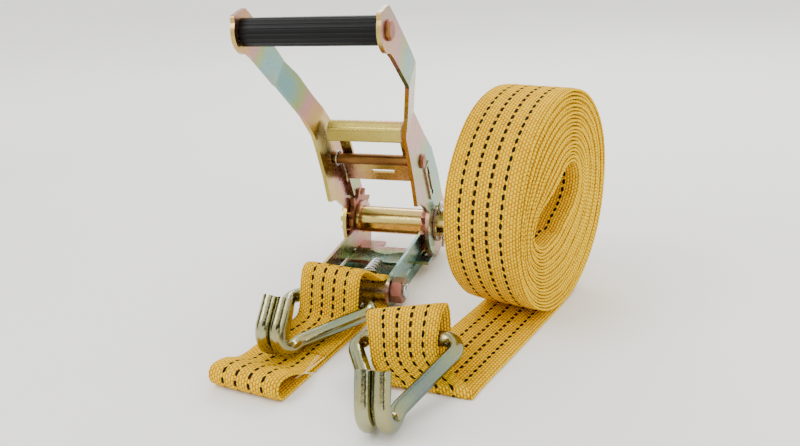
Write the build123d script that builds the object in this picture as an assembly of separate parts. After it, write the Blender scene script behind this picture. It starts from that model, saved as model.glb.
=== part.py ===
"""Ratchet tie down: a 50 mm webbing ratchet with two double-J hooks, taken off its load.

Millimetres, +Z up. The origin lies on the floor straight below the axis of the spool.
X runs along the spool, -Y points to the strap bolt end, where the closed handle lies.
"""
import os
from math import atan2, cos, degrees, hypot, radians, sin, tan

from build123d import *

# ---- driving dimensions ------------------------------------------------------------
AXLE_HEIGHT = 27.0  # spool axis above the floor
BOLT_REACH = 90.0  # spool axis to strap bolt, along the base
BOLT_HEIGHT = 11.5
WEBBING_WIDTH = 50.0
WEBBING_THICKNESS = 2.3

# Layers outward from the middle of the ratchet, along X
BASE_INNER = 25.75
BASE_WALL = 2.2
BASE_OUTER = BASE_INNER + BASE_WALL
WHEEL_INNER = 28.4
WHEEL_OUTER = 31.6
PLATE_THICKNESS = 2.8
PLATE_INNER = 32.2
PLATE_OUTER = PLATE_INNER + PLATE_THICKNESS
WASHER_OUTER = 37.2
SPLIT_PIN_X = 39.4
SPOOL_END = 42.5

SPOOL_RADIUS = 10.5
SPOOL_BORE = SPOOL_RADIUS + 0.3
SPOOL_SLOT = 4.8
SLOT_TILT = 9.0  # degrees that the slot falls towards the bolt end

WHEEL_TEETH = 12
WHEEL_TIP_RADIUS = 25.0
WHEEL_ROOT_RADIUS = 19.5
TOOTH_PHASE = -0.25  # direction of one tooth tip, degrees from +Y

HANDLE_ANGLE = 28.3  # lower part of the handle, degrees from upright to the bolt end
ROD_REACH = 68.6  # spool axis to cross rod
ROD_RADIUS = 4.0
GRIP_Y = -122.5
GRIP_Z = 193.0
GRIP_RADIUS = 8.6
GRIP_BORE = 4.2
GRIP_SIDE = 44.6  # inner face of each arm at the grip
PAWL_ANGLE = 23.5  # slide direction of the drive pawl, degrees from upright

WIRE_RADIUS = 4.75  # hook wire
HOOK_CORNER = 35.5  # where crossbar and leg would meet if the corner were sharp
HOOK_LENGTH = 74.0
HOOK_BEND = 12.9
HOOK_TURN = 130.0  # degrees that the wire turns through at the bend
PRONG_STRAIGHT = 15.9  # straight wire past the bend
PRONG_GAP = 4.95

ROLL_RADIUS = 72.0
ROLL_X = 117.7
ROLL_Y = -60.4
ROLL_YAW = -15.0

OUT = "parts"


# ---- small helpers ------------------------------------------------------------------
def plate(outline, x_from, x_to):
    """Extrude a face drawn in (Y, Z) from x_from to x_to."""
    face = Plane.YZ * outline
    return Pos(x_from, 0, 0) * extrude(face, x_to - x_from, dir=(1, 0, 0))


def disc(radius, x_from, x_to, y=0.0, z=AXLE_HEIGHT):
    """A round bar along X."""
    return plate(Pos(y, z) * Circle(radius), x_from, x_to)


def block(x_range, y_range, z_range):
    """A box given by its ranges."""
    middle = [(low + high) / 2 for low, high in (x_range, y_range, z_range)]
    size = [high - low for low, high in (x_range, y_range, z_range)]
    return Pos(*middle) * Box(*size)


def mirrored(shape):
    """The same piece on the other side of the ratchet."""
    return mirror(shape, about=Plane.YZ)


def both_sides(shape):
    return shape + mirrored(shape)


def on_handle(shape, angle=PAWL_ANGLE):
    """Turn a shape drawn upright over the origin into the handle's direction at the axle."""
    return Pos(0, 0, AXLE_HEIGHT) * Rot(angle, 0, 0) * shape


def outline_of(points, radius):
    """A closed face with every corner rounded."""
    return make_face(FilletPolyline(*points, radius=radius, close=True))


def band(points, radius, thickness):
    """A strip of even thickness that follows a polyline with rounded corners."""
    line = FilletPolyline(*points, radius=radius)
    return make_face(offset(line, amount=thickness / 2, side=Side.BOTH, closed=True).edges())


def write(node, shape):
    shape.label = node
    export_step(shape, os.path.join(OUT, node + ".step"))


# ---- base ---------------------------------------------------------------------------
FLOOR_FROM = -74.0
FLOOR_TO = 14.0
PAWL_Z = (8.0, 10.4)  # height of the lock pawl's sheet
PAWL_SLOT_Y = (-62.0, -12.0)
BOLT_EYE = 11.5


def base_wall_outline():
    """Side wall: low and round at the bolt, a round eye at the axle, flat at the floor."""
    tail = Pos(-BOLT_REACH, BOLT_HEIGHT) * Circle(BOLT_EYE)
    head = Pos(0, AXLE_HEIGHT) * Circle(15.0)
    side = Polyline((-BOLT_REACH, 0), (10, 0), (15, AXLE_HEIGHT), (-12, 26.5), (-84, 23.5),
                    (-BOLT_REACH, 23), close=True)
    return make_face(side) + tail + head


def base_frame():
    """One stamped channel: two walls joined by a floor, cut for axle, bolt and lock pawl."""
    wall = plate(base_wall_outline(), BASE_INNER, BASE_OUTER)
    floor_y = (FLOOR_FROM, FLOOR_TO)
    body = both_sides(wall) + block((-BASE_OUTER, BASE_OUTER), floor_y, (0, BASE_WALL))
    body -= disc(SPOOL_BORE, -40, 40)
    body -= disc(5.2, -40, 40, -BOLT_REACH, BOLT_HEIGHT)
    slot_z = (PAWL_Z[0] - 0.4, PAWL_Z[1] + 0.4)
    body -= block((-40, 40), PAWL_SLOT_Y, slot_z)
    body -= block((-14, 14), (3, 20), (-1, 4))
    return body + spring_stop()


def spring_stop():
    """A tab bent up out of the floor, which the lock pawl's spring pushes against."""
    return block((-8, 8), (-72, -70), (0, 16)) - disc_y(2.6, -75, -65, SPRING_Z)


def disc_y(radius, y_from, y_to, z):
    """A round bar along Y in the middle of the base."""
    return Pos(0, (y_from + y_to) / 2, z) * Rot(90, 0, 0) * Cylinder(radius, y_to - y_from)


BOLT_RADIUS = 5.0
SLEEVE_RADIUS = 7.5
NUT_FLATS = 16.0
NUT_HEIGHT = 8.0
BOLT_END = 38.6


def hexagon_along_x(x_from, x_to):
    """Hexagonal bar with its corners turned down at both ends."""
    corner = NUT_FLATS / 2 / cos(radians(30))
    bar = plate(Pos(-BOLT_REACH, BOLT_HEIGHT) * RegularPolygon(corner, 6), x_from, x_to)
    return bar & turned_end(x_from, x_to, corner)


def turned_end(x_from, x_to, corner):
    """The turned envelope that chamfers a hexagon's six corners."""
    middle = Pos((x_from + x_to) / 2, -BOLT_REACH, BOLT_HEIGHT) * Rot(0, 90, 0)
    bar = Cylinder(corner, abs(x_to - x_from))
    return middle * chamfer(bar.edges().filter_by(GeomType.CIRCLE), 1.1)


def strap_bolt():
    """Hex bolt through both walls, with its head on the left."""
    shank = disc(BOLT_RADIUS, -BASE_OUTER - 0.1, BOLT_END, -BOLT_REACH, BOLT_HEIGHT)
    tip = shank.edges().filter_by(GeomType.CIRCLE).sort_by(Axis.X)[-1]
    head = hexagon_along_x(-BASE_OUTER - 7.1, -BASE_OUTER - 0.1)
    return chamfer(tip, 0.8) + head


def strap_bolt_nut():
    nut = hexagon_along_x(BASE_OUTER + 0.1, BASE_OUTER + 0.1 + NUT_HEIGHT)
    return nut - disc(BOLT_RADIUS, 0, 60, -BOLT_REACH, BOLT_HEIGHT)


def strap_bolt_sleeve():
    """Tube on the bolt between the walls, which the strap turns on."""
    tube = disc(SLEEVE_RADIUS, -BASE_INNER + 0.2, BASE_INNER - 0.2, -BOLT_REACH, BOLT_HEIGHT)
    return tube - disc(BOLT_RADIUS + 0.15, -40, 40, -BOLT_REACH, BOLT_HEIGHT)


# ---- lock pawl -----------------------------------------------------------------------
NOSE_FRONT = -19.1
EAR_BACK = -38.0
TONGUE_HALF = 2.0
SPRING_Z = (PAWL_Z[0] + PAWL_Z[1]) / 2
SPRING_RADIUS = 4.4
SPRING_WIRE = 0.9


def lock_pawl():
    """Sheet that slides along the base: two noses for the wheels, finger ears, a tongue."""
    sheet = block((-WHEEL_OUTER, WHEEL_OUTER), (EAR_BACK, -26), PAWL_Z)
    sheet += block((-25.2, 25.2), (-44, -24), PAWL_Z)
    sheet += both_sides(block((WHEEL_INNER - 0.1, WHEEL_OUTER), (-27, NOSE_FRONT), PAWL_Z))
    sheet += both_sides(block((WHEEL_OUTER - 0.1, 38), (EAR_BACK, -26), PAWL_Z))
    sheet += both_sides(block((14, 25.2), (-25, -20), PAWL_Z))
    sheet += block((-TONGUE_HALF, TONGUE_HALF), (-66, -43), PAWL_Z)
    return sheet - Pos(0, -15, SPRING_Z) * Cylinder(14, 10)


def lock_pawl_spring():
    """Compression spring round the pawl's tongue."""
    coil = Helix(pitch=4.0, height=18.0, radius=SPRING_RADIUS)
    start = Plane(coil @ 0, z_dir=coil % 0)
    wire = sweep(start * Circle(SPRING_WIRE), path=coil, is_frenet=True)
    return Pos(0, -45.6, SPRING_Z) * Rot(90, 0, 0) * wire


# ---- handle --------------------------------------------------------------------------
CAM_RADIUS = 24.6


def handle_plate_outline():
    """Side of the handle in (Y, Z): cam round the axle, toe at the bolt side, long arm."""
    arm = outline_of(
        [(-21, 44), (-31, 52), (-40, 57), (-47.5, 57.5), (-53, 80), (-61, 103), (-72, 129),
         (-88, 152), (-116, 176), (-133, 187), (-134, 204), (-119, 207), (-109, 199),
         (-83, 175.5), (-64, 156), (-55, 141), (-45, 127), (-22, 104), (-6, 90), (2, 77),
         (8.5, 66), (14, 52), (CAM_RADIUS - 1, 30), (0, AXLE_HEIGHT)],
        1.5,
    )
    end = Pos(GRIP_Y, GRIP_Z) * Circle(13.2)
    return arm + end + Pos(0, AXLE_HEIGHT) * Circle(CAM_RADIUS)


def handle_slab():
    """The bent sheet that the right side is cut from: upright, splayed, upright again."""
    reach = hypot(GRIP_Y, GRIP_Z - AXLE_HEIGHT)
    low = PLATE_INNER + PLATE_THICKNESS / 2
    high = GRIP_SIDE + PLATE_THICKNESS / 2
    line = [(low, -60), (low, 108), (high, 156), (high, reach + 40)]
    sheet = extrude(band(line, 14, PLATE_THICKNESS), 90, both=True)
    lean = degrees(atan2(-GRIP_Y, GRIP_Z - AXLE_HEIGHT))
    return Pos(0, 0, AXLE_HEIGHT) * Rot(lean, 0, 0) * Rot(90, 0, 0) * sheet


def rod_place():
    angle = radians(HANDLE_ANGLE)
    return -ROD_REACH * sin(angle), AXLE_HEIGHT + ROD_REACH * cos(angle)


def handle_side():
    """Right side plate, with holes for axle and rods and a guide slot for the drive pawl."""
    prism = plate(handle_plate_outline(), 20, 60)
    side = prism & handle_slab()
    rod_y, rod_z = rod_place()
    side += on_handle(block((PLATE_OUTER - 0.2, PLATE_OUTER + 1.3), (-5.2, 5.2), (30, 60)))
    side -= disc(SPOOL_BORE, 0, 60)
    side -= disc(3.15, 0, 60, rod_y, rod_z)
    side -= disc(4.15, 0, 60, GRIP_Y, GRIP_Z)
    return side - on_handle(block((20, 60), (-1.6, 1.6), (31.5, 58.5)))


def handle_cross_rod():
    """Spacer rod with turned-down ends, headed over outside the side plates."""
    y, z = rod_place()
    rod = disc(ROD_RADIUS, -PLATE_INNER + 0.1, PLATE_INNER - 0.1, y, z)
    rod += disc(3.0, -PLATE_OUTER - 0.5, PLATE_OUTER + 0.5, y, z)
    return rod + rivet_heads(y, z, PLATE_OUTER + 0.1, 5.4, 2.2)


def rivet_heads(y, z, x_face, radius, height):
    """A rounded head on each side."""
    head = disc(radius, x_face, x_face + height, y, z)
    rim = head.edges().filter_by(GeomType.CIRCLE).sort_by(Axis.X)[-1]
    return both_sides(fillet(rim, height * 0.8))


def handle_grip_rod():
    """Rod through the grip tube, headed over outside both arms."""
    outer = GRIP_SIDE + PLATE_THICKNESS
    rod = disc(GRIP_BORE - 0.2, -outer - 0.5, outer + 0.5, GRIP_Y, GRIP_Z)
    return rod + rivet_heads(GRIP_Y, GRIP_Z, outer + 0.1, 6.2, 2.4)


def handle_grip():
    """Plastic tube with fluting along its length."""
    flutes = 20
    section = Circle(GRIP_RADIUS)
    for place in PolarLocations(GRIP_RADIUS + 0.35, flutes):
        section -= place * Circle(0.75)
    section -= Circle(GRIP_BORE)
    half = GRIP_SIDE - 0.4
    return plate(Pos(GRIP_Y, GRIP_Z) * section, -half, half)


# ---- drive pawl ----------------------------------------------------------------------
PAWL_SHEET = 2.2
PAWL_TIP = 25.7
SPRING_COIL = ROD_RADIUS + 1.2
SPRING_LEG = 0.75


def drive_pawl():
    """Sheet that slides in the handle: wheel noses, guide ears, window and curled lip."""
    half = PAWL_SHEET / 2
    q = (-half, half)
    sheet = block((-31.8, 31.8), q, (44, 58.5))
    sheet += block((-27.6, 27.6), q, (58, 63))
    sheet += both_sides(block((WHEEL_INNER, 31.8), q, (PAWL_TIP, 45)))
    sheet += both_sides(block((31.7, 37.2), q, (37, 52)))
    sheet += both_sides(block((19.5, 27.5), q, (62, 90)))
    sheet -= block((-8, 10), (-5, 5), (51.5, 54.5))
    lip_line = [(0, 86), (-1, 97), (-7, 104.5), (-14, 102), (-16.5, 95)]
    lip = plate(band(lip_line, 3.5, PAWL_SHEET), -27.5, 27.5)
    return on_handle(sheet + lip)


def drive_pawl_springs():
    """A wound wire spring at each end of the cross rod, its leg bearing on the pawl."""
    coil = Helix(pitch=1.7, height=2.2, radius=SPRING_COIL)
    start = Plane(coil @ 0, z_dir=coil % 0)
    wound = Rot(0, 90, 0) * sweep(start * Circle(SPRING_LEG), path=coil, is_frenet=True)
    line = Polyline((0, 0, -SPRING_COIL), (0, 3.0, -SPRING_COIL - 1.6), (0, 3.3, -18),
                    (0, 1.0, -24))
    section = Plane(line @ 0, z_dir=line % 0) * Circle(SPRING_LEG)
    leg = sweep(section, path=line, transition=Transition.ROUND)
    y, z = rod_place()
    right = Pos(28.9, y, z) * Rot(PAWL_ANGLE, 0, 0) * (wound + leg)
    return Compound(children=right.solids() + mirrored(right).solids())


# ---- spool ---------------------------------------------------------------------------
def slot_turn(shape):
    """Turn a shape drawn with a level slot to the slot's resting angle."""
    return Pos(0, 0, AXLE_HEIGHT) * Rot(SLOT_TILT, 0, 0) * shape


def spool_halves():
    """Two half-round bars either side of the webbing slot, drilled for the split pins."""
    round_bar = Rot(0, 90, 0) * Cylinder(SPOOL_RADIUS, 2 * SPOOL_END)
    slot = Box(2 * SPOOL_END + 2, 2 * SPOOL_RADIUS + 2, SPOOL_SLOT)
    bar = round_bar - slot
    bar -= both_sides(Pos(SPLIT_PIN_X, 0, 0) * Cylinder(1.9, 40))
    halves = slot_turn(bar).solids().sort_by(Axis.Z)
    return halves[-1], halves[0]


def ratchet_wheel():
    """Right wheel: twelve hooked teeth and two half-round windows for the bars."""
    points = []
    for tooth in range(WHEEL_TEETH):
        tip = TOOTH_PHASE + tooth * 360 / WHEEL_TEETH
        for radius, angle in ((WHEEL_ROOT_RADIUS, tip - 2), (WHEEL_TIP_RADIUS, tip - 0.4),
                              (WHEEL_TIP_RADIUS, tip + 1.2), (WHEEL_ROOT_RADIUS, tip + 12)):
            points.append((radius * cos(radians(angle)), radius * sin(radians(angle))))
    blank = plate(make_face(Polyline(*points, close=True)), WHEEL_INNER, WHEEL_OUTER)
    bars = Rot(0, 90, 0) * Cylinder(SPOOL_RADIUS + 0.05, 200)
    bars -= Box(300, 60, SPOOL_SLOT - 0.1)
    return Pos(0, 0, AXLE_HEIGHT) * (blank - Rot(SLOT_TILT, 0, 0) * bars)


def spool_washers():
    ring = disc(14.0, PLATE_OUTER + 0.3, WASHER_OUTER) - disc(SPOOL_RADIUS + 0.05, 0, 60)
    return Compound(children=[ring, mirrored(ring)])


def split_pin():
    """Right split pin: looped head above the bars, two legs through them, ends spread."""
    wire = 1.5
    legs = Pos(SPLIT_PIN_X, 0, -1) * Cylinder(1.8, 27)
    loop_centre = Pos(SPLIT_PIN_X, 0, 15.2)
    loop = loop_centre * Rot(0, 90, 0) * Torus(2.9, wire)
    pin = legs + loop
    for side in (-1, 1):
        pin += Pos(SPLIT_PIN_X, side * 2.6, -15.8) * Rot(side * 42, 0, 0) * Cylinder(1.2, 7)
    return slot_turn(pin)


# ---- hooks ---------------------------------------------------------------------------
def wire_along(path):
    section = Plane(path @ 0, z_dir=path % 0) * Circle(WIRE_RADIUS)
    return sweep(section, path=path, transition=Transition.ROUND)


def double_j_hook():
    """Crossbar along X at the origin, legs run to -Y and meet, prongs bend up and back."""
    reach = HOOK_BEND * tan(radians(HOOK_TURN / 2))
    prong = reach + PRONG_STRAIGHT
    apex_y = -HOOK_LENGTH + HOOK_BEND - reach
    tip_y = apex_y - prong * cos(radians(HOOK_TURN))
    tip = (PRONG_GAP, tip_y, prong * sin(radians(HOOK_TURN)))
    apex = (PRONG_GAP, apex_y, 0)
    knee = (PRONG_GAP + 1.5, -HOOK_LENGTH + HOOK_BEND + 5, 0)
    corner = (HOOK_CORNER, 0, 0)
    right = [tip, apex, knee, corner]
    left = [(-x, y, z) for x, y, z in reversed(right)]
    radii = [HOOK_BEND, 14, 9, 9, 14, HOOK_BEND]
    return wire_along(FilletPolyline(*right, *left, radius=radii))


HOOK_1_PLACE = Pos(-5.0, -117.0, 14.2) * Rot(0, 0, -7.5) * Rot(2.5, 0, 0)
HOOK_2_PLACE = Pos(64.4, -168.4, 21.0) * Rot(0, 0, 3.4) * Rot(0, -3.0, 0) * Rot(13.6, 0, 0)


# ---- webbing -------------------------------------------------------------------------
LAYER = WEBBING_THICKNESS
STRAP_YAW = -9.0
EYE_WIDTH = 39.0  # the webbing gathers a little between a hook's legs


def ribbon(points, radius):
    """Webbing at full width, bent along a line drawn in (Y, Z), as one solid across X."""
    half = WEBBING_WIDTH / 2
    return plate(band(points, radius, LAYER), -half, half)


def strap_loop(outline, radius, width):
    """A closed loop of webbing: an outline in (Y, Z), hollowed to the webbing's thickness."""
    outer = outline_of(outline, radius)
    return plate(outer - offset(outer, -LAYER), -width / 2, width / 2)


AT_BOLT = Pos(0, -BOLT_REACH, 0)
ON_SHORT_STRAP = AT_BOLT * Rot(0, 0, STRAP_YAW)
LOW_LAYER = 0.15 + LAYER / 2
UPPER_LAYER = 4.4


def short_strap_bolt_eye():
    """The end of the webbing laid round the bolt's sleeve and sewn down on itself."""
    round_part = Pos(0, BOLT_HEIGHT) * Circle(SLEEVE_RADIUS + 2.6)
    tail = Pos(-7.2, 2.95) * Rectangle(14.4, 5.6)
    hole = Pos(0, BOLT_HEIGHT) * Circle(SLEEVE_RADIUS + 0.3)
    half = WEBBING_WIDTH / 2
    return AT_BOLT * plate(round_part + tail - hole, -half, half)


def short_strap_run():
    """Webbing out along the floor, turned up at the far end and back over itself."""
    line = [(-19.3, LOW_LAYER), (-130, LOW_LAYER), (-130, 13.5), (-117, 12.5),
            (-104, UPPER_LAYER), (-46, UPPER_LAYER)]
    return ON_SHORT_STRAP * ribbon(line, [6, 5.5, 6, 8])


def short_strap_hook_eye():
    """Standing loop of webbing that the crossbar of the hook lies in."""
    outline = [(-44, 3.2), (-37, 16), (-32.3, 39.6), (-23, 35.5), (-18.2, 12), (-19.6, 3.2)]
    return ON_SHORT_STRAP * strap_loop(outline, 2.4, EYE_WIDTH)


EYE_PLACE = Pos(65.0, -169.0, 0) * Rot(0, 0, 4.5)


def long_strap_eye():
    """Loop at the end of the long strap, round the crossbar of hook 2."""
    outline = [(-19, 2.6), (-13, 14), (-6.3, 34), (4.5, 33), (12.4, 14), (14, 2.6)]
    return EYE_PLACE * strap_loop(outline, 2.4, EYE_WIDTH)


def long_strap_run():
    """Webbing flat on the floor from the fold under the eye to the bottom of the roll."""
    strip = block((-25, 25), (-136, -4), (0.1, 0.1 + LAYER))
    return Pos(ROLL_X, ROLL_Y, 0) * Rot(0, 0, ROLL_YAW) * strip


def long_strap_roll():
    """The rest of the long strap, rolled up and stood on the floor, round a flattened core."""
    middle = Pos(0, ROLL_RADIUS + 0.1 + LAYER)
    face = middle * Circle(ROLL_RADIUS)
    face -= middle * Pos(-14, 3) * Rot(0, 0, 22) * SlotOverall(62, 15)
    body = plate(face, -25, 25)
    return Pos(ROLL_X, ROLL_Y, 0) * Rot(0, 0, ROLL_YAW) * body


# ---- everything ----------------------------------------------------------------------
def main():
    os.makedirs(OUT, exist_ok=True)
    upper, lower = spool_halves()
    right_side = handle_side()
    right_wheel = ratchet_wheel()
    right_pin = split_pin()
    hook = double_j_hook()
    nodes = {
        "base_frame": base_frame(),
        "strap_bolt": strap_bolt(),
        "strap_bolt_nut": strap_bolt_nut(),
        "strap_bolt_sleeve": strap_bolt_sleeve(),
        "lock_pawl": lock_pawl(),
        "lock_pawl_spring": lock_pawl_spring(),
        "handle_side_right": right_side,
        "handle_side_left": mirrored(right_side),
        "handle_cross_rod": handle_cross_rod(),
        "handle_grip_rod": handle_grip_rod(),
        "handle_grip": handle_grip(),
        "drive_pawl": drive_pawl(),
        "drive_pawl_springs": drive_pawl_springs(),
        "spool_half_upper": upper,
        "spool_half_lower": lower,
        "ratchet_wheel_right": right_wheel,
        "ratchet_wheel_left": mirrored(right_wheel),
        "spool_washers": spool_washers(),
        "split_pin_right": right_pin,
        "split_pin_left": mirrored(right_pin),
        "hook_short_strap": HOOK_1_PLACE * hook,
        "hook_long_strap": HOOK_2_PLACE * hook,
        "short_strap_bolt_eye": short_strap_bolt_eye(),
        "short_strap_run": short_strap_run(),
        "short_strap_hook_eye": short_strap_hook_eye(),
        "long_strap_eye": long_strap_eye(),
        "long_strap_run": long_strap_run(),
        "long_strap_roll": long_strap_roll(),
    }
    for node, shape in nodes.items():
        write(node, shape)


main()
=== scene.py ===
"""Looks of a ratchet tie down: zinc-plated ratchet, double-J hooks, yellow polyester webbing."""
from math import cos, floor, hypot, pi, radians, sin

import bpy
from mathutils import Matrix, Vector


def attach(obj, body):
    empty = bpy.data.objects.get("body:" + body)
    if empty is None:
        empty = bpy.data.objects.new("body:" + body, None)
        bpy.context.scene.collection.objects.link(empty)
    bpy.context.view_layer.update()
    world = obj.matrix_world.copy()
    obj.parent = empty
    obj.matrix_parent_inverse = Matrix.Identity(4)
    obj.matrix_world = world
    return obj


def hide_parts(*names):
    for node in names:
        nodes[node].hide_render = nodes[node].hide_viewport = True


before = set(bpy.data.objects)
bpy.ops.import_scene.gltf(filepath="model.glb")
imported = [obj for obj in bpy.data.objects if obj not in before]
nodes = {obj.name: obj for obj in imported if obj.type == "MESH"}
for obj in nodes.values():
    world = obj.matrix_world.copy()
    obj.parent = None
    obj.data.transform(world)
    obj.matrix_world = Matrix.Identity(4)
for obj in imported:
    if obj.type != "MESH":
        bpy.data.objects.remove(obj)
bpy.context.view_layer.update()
scene = bpy.context.scene
MM = 0.001

# Studio: a pale floor, a broad soft light from the upper left, a fill from the right and
# a long strip behind that draws the bright lines along the plated edges.
FLOOR_PALE = "#f2f2f0"
FLOOR_SPAN = 6.0
KEY_POWER = 15
FILL_POWER = 4
BACK_POWER = 10
WORLD_COLOUR = "#f6f5ef"
WORLD_STRENGTH = 1.8
LIT_POINT = (0.02, -0.1, 0.05)
CARD_POINT = (0, -0.1, 0.06)


def linear(hex_colour):
    """An sRGB hex colour as linear RGBA."""
    channels = [int(hex_colour[i:i + 2], 16) / 255 for i in (1, 3, 5)]
    return [c / 12.92 if c <= 0.04045 else ((c + 0.055) / 1.055) ** 2.4 for c in channels] + [1.0]


def new_material(name, **shader):
    """A material with one Principled shader; shader holds the constants of its own sockets."""
    material = bpy.data.materials.new(name)
    material.use_nodes = True
    tree = material.node_tree
    surface = tree.nodes["Principled BSDF"]
    for socket, value in shader.items():
        surface.inputs[socket.replace("_", " ")].default_value = value
    return material, tree, surface


def math(tree, operation, first, second=None):
    """One Math node."""
    node = tree.nodes.new("ShaderNodeMath")
    node.operation = operation
    for socket, value in zip(node.inputs, (first, second)):
        if isinstance(value, (int, float)):
            socket.default_value = value
        elif value is not None:
            tree.links.new(value, socket)
    return node.outputs[0]


def ramp(tree, factor, stops):
    """A colour ramp of (position, hex colour) stops."""
    node = tree.nodes.new("ShaderNodeValToRGB")
    bar = node.color_ramp
    for i, (place, colour) in enumerate(stops):
        stop = bar.elements[i] if i < 2 else bar.elements.new(place)
        stop.position = place
        stop.color = linear(colour)
    tree.links.new(factor, node.inputs[0])
    return node.outputs["Color"]


def bumped(tree, surface, height, distance, strength=1.0):
    """Feeds a height in metres of relief into the shader's normal."""
    bump = tree.nodes.new("ShaderNodeBump")
    bump.inputs["Distance"].default_value = distance
    bump.inputs["Strength"].default_value = strength
    tree.links.new(height, bump.inputs["Height"])
    tree.links.new(bump.outputs["Normal"], surface.inputs["Normal"])


def noise(tree, size, detail=3.0, stretch=(1, 1, 1)):
    """Noise in the object's own space; size is the width of one blotch in metres."""
    place = tree.nodes.new("ShaderNodeTexCoord").outputs["Object"]
    scaled = tree.nodes.new("ShaderNodeMapping")
    scaled.inputs["Scale"].default_value = [s / size for s in stretch]
    tree.links.new(place, scaled.inputs["Vector"])
    cloud = tree.nodes.new("ShaderNodeTexNoise")
    cloud.inputs["Scale"].default_value = 1.0
    cloud.inputs["Detail"].default_value = detail
    tree.links.new(scaled.outputs[0], cloud.inputs["Vector"])
    return cloud.outputs["Fac"]


def mesh_object(name, points, faces):
    """A new mesh piece with smooth faces."""
    mesh = bpy.data.meshes.new(name)
    mesh.from_pydata([tuple(p) for p in points], [], faces)
    mesh.validate()
    mesh.polygons.foreach_set("use_smooth", [True] * len(mesh.polygons))
    piece = bpy.data.objects.new(name, mesh)
    scene.collection.objects.link(piece)
    return piece


half = FLOOR_SPAN / 2
floor_piece = mesh_object(
    "studio_floor", [(-half, -half, 0), (half, -half, 0), (half, half, 0), (-half, half, 0)],
    [(0, 1, 2, 3)])
floor_paint, tree, surface = new_material("floor_paper", Roughness=0.85)
tree.links.new(ramp(tree, noise(tree, 0.4), [(0.3, FLOOR_PALE), (0.7, "#f5f5f3")]),
               surface.inputs["Base Color"])
floor_piece.data.materials.append(floor_paint)


def area_light(name, place, target, size, power):
    """A soft rectangular lamp aimed at a point."""
    lamp = bpy.data.lights.new(name, "AREA")
    lamp.shape = "RECTANGLE"
    lamp.size, lamp.size_y = size
    lamp.energy = power
    piece = bpy.data.objects.new(name, lamp)
    piece.location = place
    piece.rotation_mode = "QUATERNION"
    piece.rotation_quaternion = (Vector(target) - Vector(place)).to_track_quat("-Z", "Y")
    scene.collection.objects.link(piece)


area_light("key_softbox", (-0.7, -0.75, 1.1), LIT_POINT, (0.8, 0.8), KEY_POWER)
area_light("fill_softbox", (0.95, -0.7, 0.6), (0.05, -0.1, 0.05), (0.7, 0.7), FILL_POWER)
area_light("back_strip", (0.1, 0.9, 0.9), (0.02, -0.1, 0.08), (1.2, 0.3), BACK_POWER)


def dark_card(name, place, target, width, height):
    """A matt black card out of view, which the bright metal shows as a dark band."""
    half_width, half_height = width / 2, height / 2
    card = mesh_object(name, [(-half_width, -half_height, 0), (half_width, -half_height, 0),
                              (half_width, half_height, 0), (-half_width, half_height, 0)],
                       [(0, 1, 2, 3)])
    card.location = place
    card.rotation_mode = "QUATERNION"
    card.rotation_quaternion = (Vector(target) - Vector(place)).to_track_quat("Z", "Y")
    card.data.materials.append(card_black)
    card.visible_camera = False


card_black, tree, surface = new_material("card_matt_black", Roughness=0.9)
tree.links.new(ramp(tree, noise(tree, 0.2), [(0.3, "#161616"), (0.7, "#202020")]),
               surface.inputs["Base Color"])
dark_card("left_card", (-0.75, -0.35, 0.25), (0, -0.08, 0.08), 0.35, 0.9)
dark_card("right_card", (0.62, -0.75, 0.35), CARD_POINT, 0.3, 0.8)
dark_card("front_card", (0.32, -1.0, 0.5), CARD_POINT, 0.7, 0.35)
dark_card("top_card", (-0.25, -0.75, 1.0), CARD_POINT, 0.9, 0.14)
dark_card("far_card", (-0.35, 1.3, 0.45), CARD_POINT, 0.5, 0.25)
world = bpy.data.worlds.new("studio")
world.use_nodes = True
world.node_tree.nodes["Background"].inputs["Color"].default_value = linear(WORLD_COLOUR)
world.node_tree.nodes["Background"].inputs["Strength"].default_value = WORLD_STRENGTH
scene.world = world

CAMERA_PLACE = Vector((202.6, -563.8, 254.6)) * MM
CAMERA_RIGHT = Vector((0.949, 0.311, -0.057))
CAMERA_UP = Vector((-0.061, 0.358, 0.932))
lens = bpy.data.cameras.new("camera")
lens.sensor_width = 36.0
lens.lens = 36.16
camera = bpy.data.objects.new("camera", lens)
right = CAMERA_RIGHT.normalized()
back = right.cross(CAMERA_UP).normalized()
up = back.cross(right)
turn = Matrix((right, up, back)).transposed()
camera.matrix_world = Matrix.Translation(CAMERA_PLACE) @ turn.to_4x4()
scene.collection.objects.link(camera)
scene.camera = camera

# Stamped plates: base, handle sides, pawls and washers. Mild steel sheet, yellow chromate over
# zinc: a thin clear gold film whose thickness drifts, so gold runs into pink, olive and blue.
PLATING_PATCH = 0.08
PLATING_STREAK = 0.0007
EDGE_DRIFT = 0.25  # how far the film shifts along the ramp at a grazing angle
STREAK_DRIFT = 0.12
DULL_SPREAD = 0.22


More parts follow.
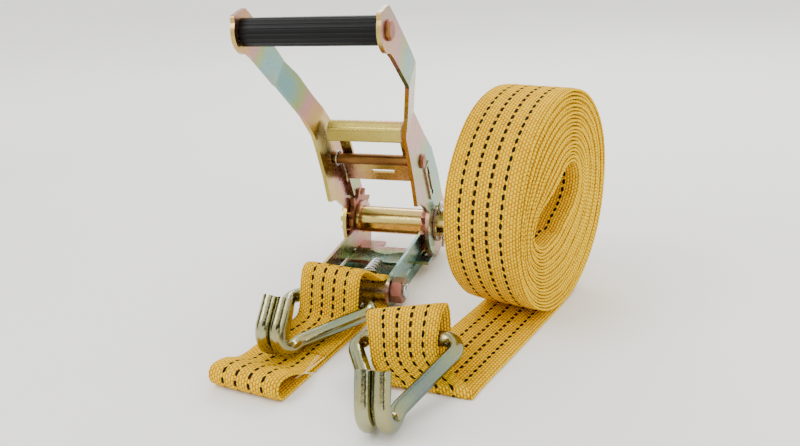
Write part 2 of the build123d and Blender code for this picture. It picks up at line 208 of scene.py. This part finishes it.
def plated_steel(name, film, rough, grain):
    """Zinc-plated steel: film is the drift of colours, grain the depth of its surface in metres."""
    material, tree, surface = new_material(name, Metallic=1.0)
    patch = noise(tree, PLATING_PATCH, 1.2)
    facing = tree.nodes.new("ShaderNodeLayerWeight")
    facing.inputs["Blend"].default_value = 0.35
    edge = facing.outputs["Facing"]
    drift = math(tree, "ADD", patch, math(tree, "MULTIPLY", edge, EDGE_DRIFT))
    fine = noise(tree, PLATING_STREAK, 2.0, (1, 0.3, 0.3))
    streak = math(tree, "MULTIPLY", math(tree, "SUBTRACT", fine, 0.5), STREAK_DRIFT)
    drift = math(tree, "ADD", drift, streak)
    tree.links.new(ramp(tree, drift, film), surface.inputs["Base Color"])
    dull = math(tree, "MULTIPLY_ADD", noise(tree, 0.006, 4.0), DULL_SPREAD)
    dull.node.inputs[2].default_value = rough - DULL_SPREAD / 2
    tree.links.new(dull, surface.inputs["Roughness"])
    pits = math(tree, "ADD", fine, math(tree, "MULTIPLY", noise(tree, 0.003, 3.0), 1.5))
    bumped(tree, surface, pits, grain)
    return material


def finish_nodes(material, *names):
    """Gives CAD nodes a finish."""
    for name in names:
        nodes[name].data.materials.clear()
        nodes[name].data.materials.append(material)


GOLD_FILM = [(0.34, "#94813a"), (0.44, "#b3a254"), (0.51, "#b8925c"), (0.58, "#b27f80"),
             (0.66, "#8d9a5e"), (0.76, "#6d979a"), (0.9, "#9a9356")]
yellow_zinc = plated_steel("yellow_zinc_plate", GOLD_FILM, 0.27, 0.00006)
finish_nodes(yellow_zinc, "base_frame", "lock_pawl", "handle_side_right", "handle_side_left",
             "drive_pawl", "spool_washers")

# Spool bars, rods and wheels: turned and blanked steel with a duller, browner plating that
# the machining marks break up.
BROWN_FILM = [(0.25, "#5a3c1c"), (0.45, "#8c6234"), (0.6, "#9c6458"), (0.75, "#74603a"),
              (0.9, "#55544c")]
brown_zinc = plated_steel("brown_zinc_plate", BROWN_FILM, 0.42, 0.00016)
finish_nodes(brown_zinc, "handle_cross_rod", "handle_grip_rod", "ratchet_wheel_right",
             "ratchet_wheel_left", "strap_bolt_nut")
BAR_FILM = [(0.25, "#a88e3c"), (0.5, "#c9b468"), (0.7, "#bf9878"), (0.9, "#9da274")]
bar_zinc = plated_steel("spool_bar_plate", BAR_FILM, 0.24, 0.00004)
finish_nodes(bar_zinc, "spool_half_upper", "spool_half_lower")

# Bolt, sleeve, split pins and springs: plain bright zinc and drawn spring wire, bluish white.
WIRE_FILM = [(0.3, "#aab0b8"), (0.5, "#cfd4da"), (0.7, "#bcc2c8"), (0.9, "#989ea8")]
bright_wire = plated_steel("bright_spring_wire", WIRE_FILM, 0.26, 0.00003)
finish_nodes(bright_wire, "strap_bolt", "strap_bolt_sleeve", "split_pin_right", "split_pin_left",
             "lock_pawl_spring", "drive_pawl_springs")

# Grip: black plastic tube with fluting moulded along it; satin, with fine moulding texture.
grip_plastic, tree, surface = new_material("fluted_black_plastic", IOR=1.46,
                                           Specular_IOR_Level=0.22)
tree.links.new(ramp(tree, noise(tree, 0.02), [(0.3, "#030304"), (0.7, "#07080a")]),
               surface.inputs["Base Color"])
dull = math(tree, "MULTIPLY_ADD", noise(tree, 0.004), 0.2)
dull.node.inputs[2].default_value = 0.32
tree.links.new(dull, surface.inputs["Roughness"])
bumped(tree, surface, noise(tree, 0.0006, 2.0), 0.00006)
finish_nodes(grip_plastic, "handle_grip")

# Hooks: bent 9.5 mm round wire, zinc plated in a barrel, which leaves a soft shine with small
# knocks; the chromate is pale gold with grey wear.
HOOK_FILM = [(0.3, "#6f7656"), (0.45, "#a5a684"), (0.58, "#9c9468"), (0.7, "#828e74"),
             (0.85, "#667474")]
hook_zinc = plated_steel("hook_barrel_zinc", HOOK_FILM, 0.17, 0.00006)
finish_nodes(hook_zinc, "hook_short_strap", "hook_long_strap")

# Webbing: 50 mm yellow polyester, plain woven from thick yarns, with four lines of black
# marking yarn that float over the face in dashes. Painted shade and highlight: the colour follows
# the weave's height, painted deep orange in the hollows between yarns and lighter on the crowns.
YARN_ACROSS = 2.0  # mm between warp yarns
YARN_ALONG = 2.6  # mm between weft yarns
MARK_PITCH = 5.7  # mm from one black dash to the next
MARK_LENGTH = 0.66  # share of the pitch that is black
MARK_LINES = (9.4, 4.7)  # mm: lines at 9.4 - 4.7 and 9.4 + 4.7 either side of the middle
MARK_HALF = 1.05  # mm
YARN_TOP = "#ffcc00"
YARN_SHADE = "#e29600"
# Painted shade, darkest in the hollows between yarns; the colour after it is a painted highlight on
# the yarn crowns.
YARN_HOLLOW_PAINTED_SHADE = "#6a3000"
YARN_CROWN_PAINTED_HIGHLIGHT = "#ffd800"
MARK_BLACK = "#1c1a14"
WEBBING_THICK = 2.3
HALF_WEB = 25.0

webbing, tree, surface = new_material("yellow_polyester_webbing", IOR=1.55, Specular_IOR_Level=0.05)
uv = tree.nodes.new("ShaderNodeTexCoord").outputs["UV"]
split = tree.nodes.new("ShaderNodeSeparateXYZ")
tree.links.new(uv, split.inputs[0])
across = math(tree, "MULTIPLY", split.outputs["X"], 1000.0)
along = math(tree, "MULTIPLY", split.outputs["Y"], 1000.0)
warp = math(tree, "MULTIPLY", across, 1 / YARN_ACROSS)
row = math(tree, "FLOOR", warp)
warp_round = math(tree, "ABSOLUTE", math(tree, "SINE", math(tree, "MULTIPLY", warp, pi)))
shift = math(tree, "MULTIPLY", row, 0.5)
weft = math(tree, "ADD", math(tree, "MULTIPLY", along, 1 / YARN_ALONG), shift)
weft_round = math(tree, "ABSOLUTE", math(tree, "SINE", math(tree, "MULTIPLY", weft, pi)))
yarn = math(tree, "MULTIPLY", math(tree, "POWER", warp_round, 0.75),
            math(tree, "POWER", weft_round, 0.6))
uneven = noise(tree, 0.004, 4.0)
# Painted light and shade: the yarn height darkens the hollows and lightens the crowns; the noise
# adds random tone.
yarn_painted_light_and_tone = math(tree, "MULTIPLY_ADD", uneven, 0.5)
tree.links.new(math(tree, "MULTIPLY", yarn, 0.75), yarn_painted_light_and_tone.node.inputs[2])
yellow = ramp(tree, yarn_painted_light_and_tone, [(0.1, YARN_HOLLOW_PAINTED_SHADE), (0.42, YARN_SHADE), (0.76, YARN_TOP),
                               (1.0, YARN_CROWN_PAINTED_HIGHLIGHT)])
line_gap = math(tree, "ABSOLUTE", math(
    tree, "SUBTRACT", math(tree, "ABSOLUTE", math(
        tree, "SUBTRACT", math(tree, "ABSOLUTE", across), MARK_LINES[0])), MARK_LINES[1]))
off_line = math(tree, "POWER", math(tree, "MULTIPLY", line_gap, 1 / MARK_HALF), 2.0)
dash = math(tree, "FRACT", math(tree, "MULTIPLY", along, 1 / MARK_PITCH))
off_dash = math(tree, "MULTIPLY", math(tree, "ABSOLUTE", math(
    tree, "SUBTRACT", dash, MARK_LENGTH / 2)), 2 / MARK_LENGTH)
off_mark = math(tree, "ADD", off_line, math(tree, "POWER", off_dash, 4.0))
mark = math(tree, "LESS_THAN", off_mark, 1.0)
mix = tree.nodes.new("ShaderNodeMix")
mix.data_type = "RGBA"
tree.links.new(mark, mix.inputs["Factor"])
tree.links.new(yellow, mix.inputs[6])
mix.inputs[7].default_value = linear(MARK_BLACK)
tree.links.new(mix.outputs[2], surface.inputs["Base Color"])
dull = math(tree, "MULTIPLY_ADD", yarn, -0.18)
dull.node.inputs[2].default_value = 0.82
tree.links.new(dull, surface.inputs["Roughness"])
dome = math(tree, "MAXIMUM", math(tree, "SUBTRACT", 1.6, math(tree, "MULTIPLY", off_mark, 0.9)), 0.0)
relief = math(tree, "ADD", yarn, math(tree, "MULTIPLY", mark, dome))
bumped(tree, surface, relief, 0.001)


def curve_point(before, start, end, after, t):
    """A point a share t of the way from start to end, on a smooth curve through all four."""
    return [0.5 * ((2 * b) + (c - a) * t + (2 * a - 5 * b + 4 * c - d) * t * t
                   + (3 * b - a - 3 * c + d) * t ** 3)
            for a, b, c, d in zip(before, start, end, after)]


def smooth_line(points, step):
    """Points every step mm along a smooth curve through the given 3D points."""
    line = []
    for i in range(len(points) - 1):
        before, start, end, after = (points[max(i - 1, 0)], points[i], points[i + 1],
                                     points[min(i + 2, len(points) - 1)])
        length = (Vector(end[:3]) - Vector(start[:3])).length
        count = max(1, round(length / step))
        for k in range(count):
            line.append(curve_point(before, start, end, after, k / count))
    line.append(list(points[-1]))
    return line


def strip(name, line, columns=12):
    """Webbing as a closed mesh. A line entry is x, y, z, the width's yaw in degrees, half width
    and thickness, all else in mm."""
    points, faces, spots = [], [], []
    ring = 2 * (columns + 1)
    run = 0.0
    for i, (x, y, z, yaw, half_width, thick) in enumerate(line):
        here = Vector((x, y, z))
        if i:
            run += (here - Vector(line[i - 1][:3])).length
        ahead = Vector(line[min(i + 1, len(line) - 1)][:3]) - Vector(line[max(i - 1, 0)][:3])
        side = Vector((cos(radians(yaw)), sin(radians(yaw)), 0))
        face = side.cross(ahead).normalized()
        for layer, sign in ((0, 1), (1, -1)):
            for k in range(columns + 1):
                place = -1 + 2 * k / columns
                place = place if layer == 0 else -place
                selvedge = thick / 2 * (1 - 0.45 * abs(place) ** 14)
                wave = 0.1 * sin(run / 9 + place * 2.1)
                reach = place * half_width * (1 + 0.006 * sin(run * 1.9))
                points.append((here + side * reach + face * (sign * selvedge + wave)) * MM)
                spots.append((place * HALF_WEB * MM, run * MM))
    for i in range(len(line) - 1):
        for k in range(ring):
            a, b = i * ring + k, i * ring + (k + 1) % ring
            faces.append((a, b, b + ring, a + ring))
    for end in (0, len(line) - 1):
        for k in range(columns):
            a, b = end * ring + k, end * ring + k + 1
            c, d = end * ring + ring - 2 - k, end * ring + ring - 1 - k
            faces.append((a, d, c, b) if end == 0 else (a, b, c, d))
    piece = mesh_object(name, points, faces)
    layer = piece.data.uv_layers.new(name="UVMap")
    for loop in piece.data.loops:
        layer.data[loop.index].uv = spots[loop.vertex_index]
    piece.data.materials.append(webbing)
    return piece


# Short strap: one length of webbing. It runs from under the bolt's sleeve out along the floor,
# folds back over itself, and comes up in an arch round hook 1's crossbar and back to the bolt.
BOLT_PLACE = (0.0, -90.0, 11.5)
EYE_MIDDLE = 8.95  # mm from the bolt's axis to the middle of the webbing
STRAP_YAW = -9.0
LOOP_HALF = 22.4  # half width of the gathered webbing between the hook's legs
LOOP_SHIFT = 1.2  # mm that the loop leans towards the nut
GATHER_BY = 16  # mm from the bolt over which the webbing gathers and turns
SPREAD_END = 64  # mm from the bolt where it is at full width again
SPREAD_OVER = 18
CURVE_STEP = 1.5  # mm between cross-sections


def short_strap_line():
    """Once round: far fold, floor, bolt, the arch of the loop, its front and the upper layer."""
    # Each pair is mm out from the bolt along the strap, and height above the floor.
    flat = [(-82, 4.4), (-97, 4.6), (-105, 6.4), (-113, 10.6), (-121, 13.0), (-127.5, 12.8),
            (-130.2, 9.5), (-130.0, 5.5), (-127.5, 2.2), (-122, 1.3), (-100, 1.3), (-70, 1.3),
            (-40, 1.3), (-18, 1.35), (-8, 1.7)]
    for turn in range(-85, 106, 15):
        flat.append((EYE_MIDDLE * cos(radians(turn)), 11.5 + EYE_MIDDLE * sin(radians(turn))))
    on_bolt = len(flat)
    flat += [(-7.5, 22.5), (-14, 29), (-20.5, 34.8), (-26.5, 37.2), (-31.5, 35.4), (-35.0, 28.5),
             (-37.4, 19), (-40, 10), (-43.5, 5.8), (-50, 4.4), (-65, 4.4), (-80.5, 4.4)]
    line = []
    for i, (out, height) in enumerate(flat):
        turned = min(1.0, max(0.0, (-4 - out) / GATHER_BY))
        yaw = STRAP_YAW * turned
        half_width = HALF_WEB - 0.5
        if i >= on_bolt:
            spread = min(1.0, max(0.0, (SPREAD_END + out) / SPREAD_OVER))
            narrow = min(1.0, -out / GATHER_BY) * spread
            half_width += (LOOP_HALF - half_width) * narrow
        x = -out * sin(radians(yaw)) + (LOOP_SHIFT * narrow if i >= on_bolt else 0.0)
        y = BOLT_PLACE[1] + out * cos(radians(yaw))
        line.append((x, y, height, yaw, half_width, WEBBING_THICK))
    return smooth_line(line, CURVE_STEP)


short_line = short_strap_line()
short_strap = strip("short_strap_webbing", short_line)
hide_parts("short_strap_bolt_eye", "short_strap_run", "short_strap_hook_eye")
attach(short_strap, "short_strap")

# Loose filaments: single polyester fibres, undyed and near white, that have pulled out of the
# short strap's selvedge near its far fold. They lie free on the strap's right edge.
FRAY_ROOT = (8.0, -196.5, 6.0)
FRAY_RADIUS = 0.14
FRAYS = [((14, -195, 11), (20, -190, 15)), ((18, -200, 7), (34, -206, 4)),
         ((12, -192, 10), (14, -186, 13)), ((16, -197, 7), (30, -198, 3)),
         ((10, -201, 9), (7, -206, 8)), ((13, -196, 13), (17, -194, 18))]

fray_points, fray_faces = [], []
for tip_pair in FRAYS:
    thread = smooth_line([FRAY_ROOT, *tip_pair], 1.5)
    first = len(fray_points)
    for here in thread:
        for corner in range(4):
            spin = corner * pi / 2
            fray_points.append((Vector(here) + FRAY_RADIUS * Vector((0, cos(spin), sin(spin)))) * MM)
    for k in range(len(thread) - 1):
        for corner in range(4):
            a, b = first + 4 * k + corner, first + 4 * k + (corner + 1) % 4
            fray_faces.append((a, b, b + 4, a + 4))
fray = mesh_object("frayed_filaments", fray_points, fray_faces)
filament, tree, surface = new_material("loose_polyester_filament", Roughness=0.6,
                                       Specular_IOR_Level=0.3)
tree.links.new(ramp(tree, noise(tree, 0.003), [(0.3, "#f0e8c8"), (0.7, "#fffdf2")]),
               surface.inputs["Base Color"])
fray.data.materials.append(filament)
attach(fray, "short_strap")

# Long strap: sewn in a loop round the second hook's crossbar, flat along the floor, then the
# whole rest of it wound up on edge from a folded-over core.
ROLL_PLACE = (117.7, -60.4)
ROLL_YAW = -15.0
ROLL_RADIUS = 73.1
ROLL_MIDDLE = 74.4
# The open core in mm, along and up from the roll's middle, every 30 degrees from straight down.
CORE = [(-13, -18), (0, -12), (13, -6), (22, 4), (22, 15), (14, 23), (2, 23), (-9, 16), (-23, 10),
        (-41, 4), (-48, -8), (-35, -19)]
ROLL_TURNS = 20


def on_roll(out, height):
    """A point of the roll, given by how far along and how high, as an entry of a strip's line."""
    yaw = radians(ROLL_YAW)
    return (ROLL_PLACE[0] - out * sin(yaw), ROLL_PLACE[1] + out * cos(yaw), height, ROLL_YAW, 24.8)


def long_strap_line():
    """The loop round hook 2's crossbar, the fold under it, and the flat run to the roll."""
    eye = [(73, -184, 4.4, 10, 22), (68, -168, 4.2, 10, 22), (64.5, -157, 4.6, 12, 22.5),
           (62.3, -151.8, 9, 14, 23), (61.5, -151, 17, 16, 23.3), (61.5, -152.5, 26.5, 19, 23.5),
           (62, -157, 34.5, 22, 23.5), (62.3, -163, 37, 24, 23.3), (63, -170, 35, 21, 22),
           (64.5, -177.5, 28, 16, 20.2), (65.3, -180.7, 19.5, 13, 19.8),
           (68.5, -183.8, 12.5, 11, 21), (76.5, -187.6, 7.0, 7, 24), (82.2, -190.9, 4.6, 3, 24.8),
           (83.4, -192.2, 3.0, 0, 24.8), (83.6, -190.8, 1.6, -6, 24.8), (84.8, -186, 1.3, -12, 24.8)]
    flat = [on_roll(-out, 1.3) for out in (118, 95, 70, 45, 22, 8)]
    eye = [entry + (WEBBING_THICK,) for entry in eye]
    flat = [entry + (WEBBING_THICK,) for entry in flat]
    return smooth_line(eye + flat, 1.6)


def core_point(turns):
    """A point of the core's outline; turns counts whole turns from straight down."""
    place = (turns % 1.0) * len(CORE)
    first, t = floor(place), place - floor(place)
    return curve_point(*(CORE[(first + k) % len(CORE)] for k in (-1, 0, 1, 2)), t)


def roll_line():
    """The wound webbing: round outside, and turn by turn nearer to the shape of the core."""
    line = []
    steps = 72
    for i in range(ROLL_TURNS * steps + 1):
        share = i / (ROLL_TURNS * steps)
        angle = radians(-90 + i * 360 / steps)
        inner = core_point(i / steps)
        outer = (ROLL_RADIUS * cos(angle), ROLL_RADIUS * sin(angle))
        along, high = (a + (b - a) * share for a, b in zip(outer, inner))
        gap = hypot(outer[0] - inner[0], outer[1] - inner[1]) / ROLL_TURNS
        thick = min(2.9, gap * 0.92)
        slip = 0.45 * sin(i * 0.043) + 0.3 * sin(i * 0.019)
        x, y, z, yaw, half_width = on_roll(along, ROLL_MIDDLE + high)
        x += slip * cos(radians(yaw))
        y += slip * sin(radians(yaw))
        line.append((x, y, z, yaw, half_width, thick))
    return line


long_line = long_strap_line() + roll_line()[2:]
long_strap = strip("long_strap_webbing", long_line, columns=10)
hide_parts("long_strap_eye", "long_strap_run", "long_strap_roll")
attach(long_strap, "long_strap")
